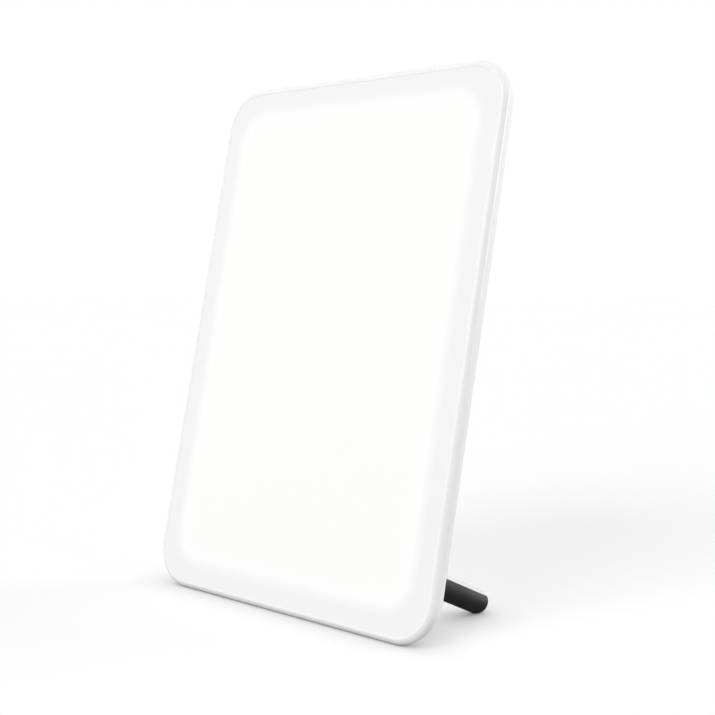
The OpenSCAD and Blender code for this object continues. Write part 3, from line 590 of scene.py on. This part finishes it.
def make_material(finish):
    """The material of one of the record's finishes."""
    colours = bpy.context.scene.lamp_colours
    makers = {
        "frame_white": lambda: moulded(
            "satin_white_frame", colours.frame_white, gloss=(0.3, 0.38), fineness=1800, depth=6e-6, wear=0.25,
            worn=(0.96, 0.96, 0.95), dust=0.02, mottle=0.008, Coat_Weight=0.12, Coat_Roughness=0.25),
        "cover_white": lambda: moulded(
            "textured_white_cover", colours.cover_white, gloss=(0.5, 0.6), fineness=1500, depth=5e-5,
            wear=0.3, worn=(0.9, 0.9, 0.89), dust=0.05, mottle=0.012, speck=0.05),
        "opal_diffuser": lambda: glowing_opal("lit_opal_diffuser"),
        "leg_white": lambda: moulded(
            "satin_white_leg", colours.leg_white, fineness=1800, depth=1e-5, dust=0.05),
        "grip_grey": lambda: moulded(
            "soft_dark_grip", colours.grip_grey, gloss=(0.5, 0.62), fineness=2600, depth=4e-5, wear=0.55,
            worn=(0.06, 0.06, 0.064), dust=0.04, mottle=0.08, speck=0.25, Specular_IOR_Level=0.3),
        "socket_grey": lambda: moulded(
            "dark_grey_socket", colours.socket_grey, gloss=(0.42, 0.55), fineness=2000, depth=3e-5, wear=0.5,
            worn=(0.14, 0.14, 0.145), dust=0.12, mottle=0.06),
        "button_grey": lambda: moulded(
            "satin_grey_button", colours.button_grey, gloss=(0.28, 0.38), fineness=2400, depth=1.5e-5,
            wear=0.5, worn=(0.3, 0.3, 0.31), dust=0.08, mottle=0.04, Coat_Weight=0.15, Coat_Roughness=0.2),
        "rubber_grey": lambda: moulded(
            "soft_rubber", (0.025, 0.025, 0.026), gloss=(0.68, 0.8), fineness=1800, depth=5e-5, wear=0.4,
            worn=(0.07, 0.07, 0.07), dust=0.25, mottle=0.1),
        "jack_black": lambda: moulded(
            "moulded_black_inlet", (0.012, 0.012, 0.013), gloss=(0.35, 0.5), depth=2e-5, wear=0.5,
            worn=(0.06, 0.06, 0.06), dust=0.1, mottle=0.08),
        "chip_black": lambda: moulded(
            "moulded_black_package", (0.014, 0.014, 0.015), gloss=(0.5, 0.65), fineness=1600, depth=3e-5,
            dust=0.2, mottle=0.1),
        "tape_white": lambda: moulded(
            "foam_tape", (0.75, 0.75, 0.73), gloss=(0.8, 0.9), fineness=1200, depth=8e-5),
        "haze_film": lambda: moulded(
            "hazy_film", (0.86, 0.86, 0.86), gloss=(0.5, 0.6), fineness=4000, depth=4e-6),
        "reflector_white": lambda: moulded(
            "matt_reflector", (0.92, 0.92, 0.92), gloss=(0.75, 0.85), fineness=3000),
        "strip_white": lambda: moulded(
            "white_solder_mask", (0.82, 0.82, 0.79), gloss=(0.3, 0.4), fineness=1600),
        "connector_white": lambda: moulded(
            "natural_nylon", (0.78, 0.75, 0.66), gloss=(0.4, 0.55), Subsurface_Weight=0.1),
        "wire_white": lambda: moulded("white_insulation", (0.8, 0.8, 0.79), fineness=1500),
        "wire_red": lambda: moulded("red_insulation", (0.42, 0.012, 0.01), fineness=1500),
        "wire_black": lambda: moulded("black_insulation", (0.01, 0.01, 0.011), fineness=1500),
        "ferrite": lambda: moulded(
            "sintered_ferrite", (0.02, 0.02, 0.022), gloss=(0.6, 0.75), fineness=900, depth=6e-5, speck=0.2),
        "led_package": lambda: moulded(
            "led_package", (0.85, 0.68, 0.2), gloss=(0.3, 0.4), fineness=2500,
            Emission_Color=(1.0, 0.93, 0.7, 1.0), Emission_Strength=0.6),
        "circuit_board": lambda: board_green("green_circuit_board"),
        "copper_wire": lambda: wound_copper("enamelled_copper_wire"),
        "tray_aluminium": lambda: metal(
            "mill_aluminium", (0.62, 0.63, 0.64), streaks=(1, 14, 14), fineness=500),
        "capacitor_cans": lambda: metal(
            "drawn_aluminium", (0.6, 0.61, 0.63), streaks=(6, 1, 1), fineness=700),
        "brass_parts": lambda: metal("turned_brass", (0.6, 0.42, 0.14), gloss=(0.2, 0.32)),
        "steel_screws": lambda: metal("zinc_plated_steel", (0.5, 0.51, 0.53), gloss=(0.28, 0.42)),
        "jack_spring": lambda: metal("nickel_spring", (0.6, 0.58, 0.54), gloss=(0.18, 0.3)),
        "clear_film": lambda: clear("clear_film", (0.93, 0.95, 0.96), 0.05),
        "clear_acrylic": lambda: clear("printed_clear_acrylic", (0.93, 0.97, 0.97), 0.02, dots=500),
    }
    return makers[finish]()


made_materials = {}


def material_of(finish):
    """The material of a finish, made at its first use."""
    if finish not in made_materials:
        made_materials[finish] = make_material(finish)
    return made_materials[finish]


# ---------------------------------------------------------------- operators


class LAMP_OT_front_frame(bpy.types.Operator):
    """Moulds the white front frame: rim with a bowed outer edge, side wall, ledge and snap skirt"""

    bl_idname = "lamp.front_frame"
    bl_label = "Front frame"

    def execute(self, context):
        sizes = context.scene.lamp_sizes
        front, seam, rim = sizes.depth * MM, sizes.seam * MM, sizes.rim * MM
        # The outer edge bows between the face and the side wall, round a centre as far in from both
        edge, bow_centre, bow = 3, 5.469, 41.41
        lip_round, ledge, ledge_top = 0.2, rim + 9.4, seam + 1.2
        skirt_out, skirt_in, skirt_end = 2.35, 3.75, seam - 2.4
        bead_out, bead_low, bead_high = 1.9, seam - 1.6, seam - 1
        bm = bmesh.new()
        draw_section(bm, (SEAM_EASE, seam), [
            (0, seam + SEAM_EASE), (0, front - edge - 0.1), (0, front - edge),
            ((bow_centre, front - bow_centre), bow, 12), (edge + 0.1, front),
            (rim - lip_round - 0.1, front), (rim - lip_round, front),
            ((rim - lip_round, front - lip_round), 90, 4),
            (rim, ledge_top), (ledge, ledge_top), (ledge, seam),
            (skirt_in, seam), (skirt_in, skirt_end), (skirt_out, skirt_end),
            (skirt_out, bead_low), (bead_out, bead_low), (bead_out, bead_high), (skirt_out, bead_high),
            (skirt_out, seam), (SEAM_EASE, seam),
        ])
        carry_round(bm, sizes.width * MM, sizes.height * MM, sizes.corner * MM)
        stand_up(bm)
        make_piece(bm, "front_frame_shell", "frame_white", "panel", ["front_frame"])
        return {"FINISHED"}


class LAMP_OT_diffuser(bpy.types.Operator):
    """Cuts the glowing opal diffuser panel, with eased edges"""

    bl_idname = "lamp.diffuser"
    bl_label = "Opal diffuser"

    def execute(self, context):
        sizes = context.scene.lamp_sizes
        gap, thick, eased, margin = 0.06, 2.2, 0.15, 0.5
        inset = sizes.rim * MM + gap
        low = (sizes.depth - sizes.recess) * MM - thick
        width, height = sizes.width * MM - 2 * inset, sizes.height * MM - 2 * inset
        bm = bmesh.new()
        face = lay_sheet(bm, width, height, sizes.corner * MM - inset, low)
        bmesh.ops.translate(bm, vec=(0, inset, 0), verts=bm.verts)
        made = bmesh.ops.extrude_face_region(bm, geom=[face])["geom"]
        bmesh.ops.translate(bm, vec=(0, 0, thick), verts=picked(made, bmesh.types.BMVert))
        upper = picked(made, bmesh.types.BMFace)[0]
        bmesh.ops.bevel(
            bm, geom=list(upper.edges), offset=eased, segments=3, profile=0.5, affect="EDGES", material=-1
        )
        upper = max((f for f in bm.faces if len(f.verts) > 8), key=lambda f: f.calc_center_median().z)
        bmesh.ops.inset_region(bm, faces=[upper], thickness=margin, use_even_offset=True)
        stand_up(bm)
        make_piece(bm, "opal_diffuser_panel", "opal_diffuser", "panel", ["diffuser_panel"])
        return {"FINISHED"}


class LAMP_OT_rear_cover(bpy.types.Operator):
    """Moulds the rear cover: rolled edge, snap groove, back plate with vents, bosses and holes"""

    bl_idname = "lamp.rear_cover"
    bl_label = "Rear cover"

    def execute(self, context):
        sizes = context.scene.lamp_sizes
        width, height, seam = sizes.width * MM, sizes.height * MM, sizes.seam * MM
        # The edge rolls from the back plate in a slow round and then a tighter one, alike inside and out
        slow, slow_turn, plate_start = (22, 24), 53.1301, 22.2
        tight, tight_turn, above_groove, below_groove = (14, 18), 36.3, 4.54, 28.97
        groove, groove_high, groove_low, inner_low = 1.85, seam - 0.95, seam - 1.65, 2.1139
        bm = bmesh.new()
        draw_section(bm, (plate_start, 0), [
            (slow[0], 0), (slow, slow_turn, 14), (tight, tight_turn, 10), (SEAM_EASE, seam), (WALL, seam),
            (tight, -above_groove, 2), (groove, groove_high), (groove, groove_low), (inner_low, groove_low),
            (tight, -below_groove, 5), (slow, -slow_turn, 8), (plate_start, WALL),
        ])
        carry_round(bm, width, height, sizes.corner * MM, steps=16)
        rims = [e for e in bm.edges if e.is_boundary]
        low = [e for e in rims if e.verts[0].co.z < 1]
        high = [e for e in rims if e.verts[0].co.z > 1]
        for hole, rings in self.holes(height):
            first, last = line_hole(bm, hole, rings)
            low += first
            high += last
        for edges, way in ((low, -1), (high, 1)):
            bmesh.ops.triangle_fill(bm, use_beauty=True, use_dissolve=False, edges=edges, normal=(0, 0, way))
        stand_up(bm)
        make_piece(bm, "rear_cover_shell", "cover_white", "panel", ["rear_cover"])
        return {"FINISHED"}

    def holes(self, height):
        """Each hole as (x, y, radius, reach of a slot's halves), with its rings."""
        lip = [(0.5, 0), (0.3, 0), (0.15, 0.04), (0.04, 0.15), (0, 0.3)]
        small = [(0.3, 0), (0.2, 0), (0.1, 0.03), (0.03, 0.1), (0, 0.2)]
        through = [(0, WALL - 0.2), (0.2, WALL)]
        screw_boss = [(0, 2.1), (-1.25, 2.1), (-1.25, 4.5), (2.2, 4.5), (2.2, WALL)]
        socket_boss = [(0, 1), (-1.2, 1), (-1.2, 4), (0.55, 4), (0.55, WALL)]
        inlet_boss = [(0, 0.8), (-1, 0.8), (-1, 4), (1, 4), (1, WALL)]
        vent, screw, socket, inlet, button = (1.5, 11.5), (2.8, 0), (9.3, 0), (6.6, 0), (7.3, 0)
        screws = [(-96, 110), (96, 110), (-96, 250), (96, 250), (0, 30), (0, height - 30)]
        sockets = [(x, y) for x in (-93, 93) for y in (39.9, height - 39.9)]
        vents = [(9 * step, y) for y in (125, height - 80) for step in range(-4, 5)]
        return [
            *(((x, y, *vent), lip + through) for x, y in vents),
            *(((x, y, *screw), lip + screw_boss) for x, y in screws),
            *(((x, y, *socket), small + socket_boss) for x, y in sockets),
            ((36, 66, *inlet), small + inlet_boss),
            ((0, 66, *button), lip + through),
        ]


class LAMP_OT_legs(bpy.types.Operator):
    """Finishes the two plug-in legs with their grips, and the four leg sockets"""

    bl_idname = "lamp.legs"
    bl_label = "Legs and sockets"

    def execute(self, context):
        for side in ("left", "right"):
            leg, grip = "leg_" + side, "leg_grip_" + side
            make_piece(eased_copy(leg, 0.12), "leg_core_" + side, "leg_white", leg, [leg])
            make_piece(eased_copy(grip, 0.15), "leg_soft_grip_" + side, "grip_grey", leg, [grip])
            for end in ("lower_" + side, "upper_" + side):
                socket = "leg_socket_" + end
                make_piece(eased_copy(socket, 0.2, 3), "socket_bush_" + end, "socket_grey", "panel", [socket])
        return {"FINISHED"}


class LAMP_OT_fittings(bpy.types.Operator):
    """Finishes the small outer fittings: screws, power button, inlet and foot strips"""

    bl_idname = "lamp.fittings"
    bl_label = "Fittings"

    def execute(self, context):
        for node, name, ease, segments, body in (
            ("case_screws", "cover_screws", 0.12, 2, "panel"),
            ("foot_strips", "rubber_foot_strips", 0.15, 2, "panel"),
            ("dc_jack_body", "inlet_housing", 0.15, 2, "panel"),
            ("dc_jack_pin", "inlet_pin", 0.1, 2, "panel"),
            ("power_button", "push_button", 0.3, 4, "power_button"),
        ):
            make_piece(eased_copy(node, ease, segments), name, finishes[node], body, [node])
        return {"FINISHED"}


class LAMP_OT_inside(bpy.types.Operator):
    """Gives every CAD part that still shows its own finish"""

    bl_idname = "lamp.inside"
    bl_label = "Inner parts"

    def execute(self, context):
        for name, part in nodes.items():
            material = material_of(finishes[name])
            if not part.material_slots:
                part.data.materials.append(material)
            for slot in part.material_slots:
                slot.material = material
        return {"FINISHED"}


class LAMP_OT_stage(bpy.types.Operator):
    """Sets the pale floor, the studio light and the camera"""

    bl_idname = "lamp.stage"
    bl_label = "Stage and camera"

    def execute(self, context):
        scene = context.scene
        stage = scene.lamp_stage
        self.lay_floor(stage)
        self.light_world(scene, stage)
        self.add_light("key_light", KEY_FROM, stage.key)
        self.add_light("back_light", BACK_FROM, stage.back)
        data = bpy.data.cameras.new("product_camera")
        data.lens = stage.lens
        data.sensor_width = 36
        data.sensor_fit = "HORIZONTAL"
        data.clip_start, data.clip_end = 0.01, 50
        camera = bpy.data.objects.new("product_camera", data)
        camera.location = CAMERA_PLACE
        camera.rotation_euler = [math.radians(turn) for turn in CAMERA_TURN]
        scene.collection.objects.link(camera)
        scene.camera = camera
        scene.view_settings.view_transform = "Standard"
        return {"FINISHED"}

    def lay_floor(self, stage):
        """A wide floor that keeps the shadows and that the camera sees nearly white, with painted contact
        shade where the lamp stands on it.
        """
        bm = bmesh.new()
        bmesh.ops.create_grid(bm, x_segments=1, y_segments=1, size=6)
        mesh = bpy.data.meshes.new("studio_floor")
        bm.to_mesh(mesh)
        bm.free()
        floor = bpy.data.objects.new("studio_floor", mesh)
        bpy.context.scene.collection.objects.link(floor)
        made, tree, surface = new_material("pale_floor", {
            "Base Color": opaque([stage.floor_white] * 3), "Roughness": 0.6, "Specular IOR Level": 0,
            "Emission Color": opaque((1, 1, 1))})
        path = add_node(tree, "ShaderNodeLightPath")
        # Painted contact shade: ambient occlusion fades the lift that the camera sees within 3 cm of the
        # lamp, darkening the floor along the panel's edge and under the legs.
        near = add_node(tree, "ShaderNodeAmbientOcclusion", {"Distance": 0.03}, samples=8)
        painted_contact_shade = maths(tree, "POWER", near.outputs["AO"], 0.6)
        seen = maths(tree, "MULTIPLY", path.outputs["Is Camera Ray"], painted_contact_shade)
        tree.links.new(maths(tree, "MULTIPLY", seen, stage.floor_lift), surface.inputs["Emission Strength"])
        mesh.materials.append(made)

    def light_world(self, scene, stage):
        """Soft light from all round, which the camera, gloss and clear pieces see as white."""
        world = bpy.data.worlds.new("studio_world")
        scene.world = world
        world.use_nodes = True
        tree = world.node_tree
        tree.nodes.clear()
        path = add_node(tree, "ShaderNodeLightPath")
        seen = maths(tree, "MAXIMUM", path.outputs["Is Camera Ray"], path.outputs["Is Glossy Ray"])
        seen = maths(tree, "MAXIMUM", seen, path.outputs["Is Transmission Ray"])
        light = add_node(tree, "ShaderNodeBackground", {"Color": opaque((1, 1, 1)), "Strength": stage.sky})
        white = add_node(tree, "ShaderNodeBackground", {"Color": opaque((1, 1, 1)), "Strength": 1.0})
        mixed = add_node(tree, "ShaderNodeMixShader", {0: seen, 1: light.outputs[0], 2: white.outputs[0]})
        add_node(tree, "ShaderNodeOutputWorld", {"Surface": mixed.outputs[0]})

    def add_light(self, name, place, share):
        """A wide soft light from a direction, with its share of full light on a face turned to it."""
        data = bpy.data.lights.new(name, "SUN")
        data.angle = math.radians(LIGHT_SPREAD)
        data.energy = math.pi * share
        lamp = bpy.data.objects.new(name, data)
        lamp.location = place
        lamp.rotation_euler = Vector(place).to_track_quat("Z", "Y").to_euler()
        bpy.context.scene.collection.objects.link(lamp)


class LAMP_PT_panel(bpy.types.Panel):
    """Settings and steps of the light therapy lamp"""

    bl_idname = "LAMP_PT_panel"
    bl_label = "Light Therapy Lamp"
    bl_space_type = "VIEW_3D"
    bl_region_type = "UI"
    bl_category = "Lamp"

    def draw(self, context):
        scene = context.scene
        for settings in (scene.lamp_sizes, scene.lamp_colours, scene.lamp_stage):
            box = self.layout.box()
            for name in settings.__annotations__:
                box.prop(settings, name)
        for operator in STEPS:
            self.layout.operator(operator.bl_idname)


STEPS = (
    LAMP_OT_front_frame,
    LAMP_OT_diffuser,
    LAMP_OT_rear_cover,
    LAMP_OT_legs,
    LAMP_OT_fittings,
    LAMP_OT_inside,
    LAMP_OT_stage,
)
CLASSES = (LampSizes, LampColours, LampStage, *STEPS, LAMP_PT_panel)


def register():
    for made in CLASSES:
        bpy.utils.register_class(made)
    bpy.types.Scene.lamp_sizes = bpy.props.PointerProperty(type=LampSizes)
    bpy.types.Scene.lamp_colours = bpy.props.PointerProperty(type=LampColours)
    bpy.types.Scene.lamp_stage = bpy.props.PointerProperty(type=LampStage)


def unregister():
    del bpy.types.Scene.lamp_sizes
    del bpy.types.Scene.lamp_colours
    del bpy.types.Scene.lamp_stage
    for made in reversed(CLASSES):
        bpy.utils.unregister_class(made)


def main():
    register()
    bpy.ops.lamp.front_frame()
    bpy.ops.lamp.diffuser()
    bpy.ops.lamp.rear_cover()
    bpy.ops.lamp.legs()
    bpy.ops.lamp.fittings()
    bpy.ops.lamp.inside()
    bpy.ops.lamp.stage()


if __name__ == "__main__":
    main()
